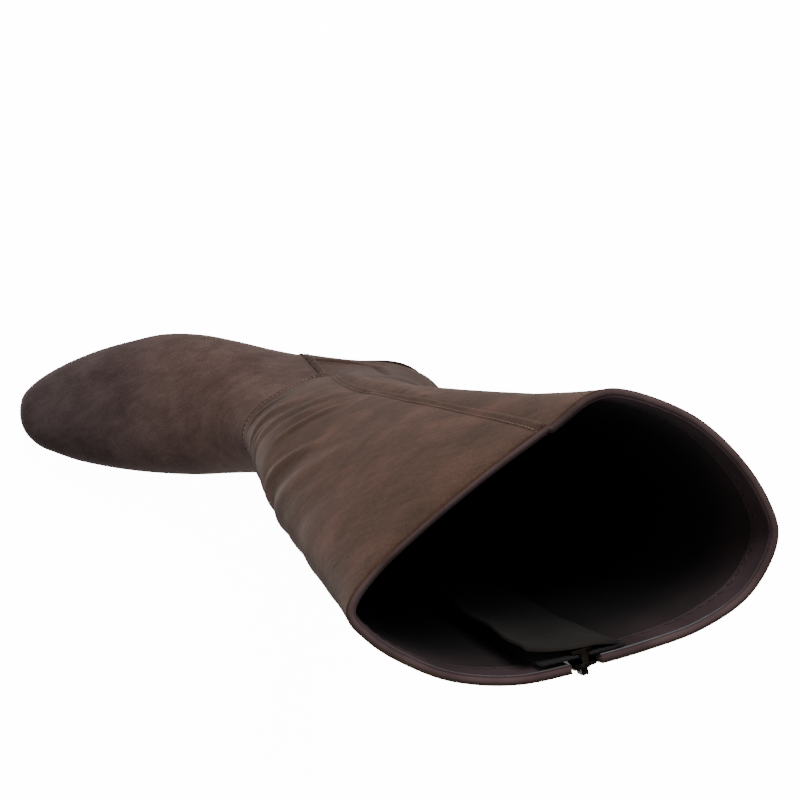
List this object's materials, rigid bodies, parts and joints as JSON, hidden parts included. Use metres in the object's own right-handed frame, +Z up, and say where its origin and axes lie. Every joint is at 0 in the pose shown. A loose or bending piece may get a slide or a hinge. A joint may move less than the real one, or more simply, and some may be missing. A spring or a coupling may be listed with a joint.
{
  "type": "knee-high boot",
  "caption": "Knee-high suede boot for the right foot with an almond toe, a covered block heel and an inside zip that runs from the collar to the ankle.",
  "frame": {"origin": "centre of the heel's resting face, on the floor", "axes": "+X towards the toe, +Y towards the inner side of the leg, where the zip is, +Z up along the leg"},
  "size_m": [0.3012, 0.0906, 0.4285],
  "materials": {
    "suede": "brushed matte suede",
    "lining": "matte",
    "sole": "matte",
    "tape": "woven matte",
    "coil": "satin",
    "hardware": "dark bronzed"
  },
  "bodies": {
    "boot": {"outsole": "sole", "heel_block": "suede", "heel_top_piece": "sole", "insole": "lining", "vamp": "suede", "leg": "suede", "zip_tape": "tape", "zip_chain": "coil", "zip_bottom_stop": "hardware", "zip_guard": "lining", "zip_slider": "hardware"},
    "pull_tab": {"zip_pull_tab": "hardware"}
  },
  "joints": [
    {"name": "pull_tab_hinge", "type": "hinge", "parent": "boot", "child": "pull_tab", "pos_m": [-0.02171, 0.03294, 0.42269], "axis": [0.9729, 0.1786, 0.147], "range_deg": [0, 165]}
  ]
}
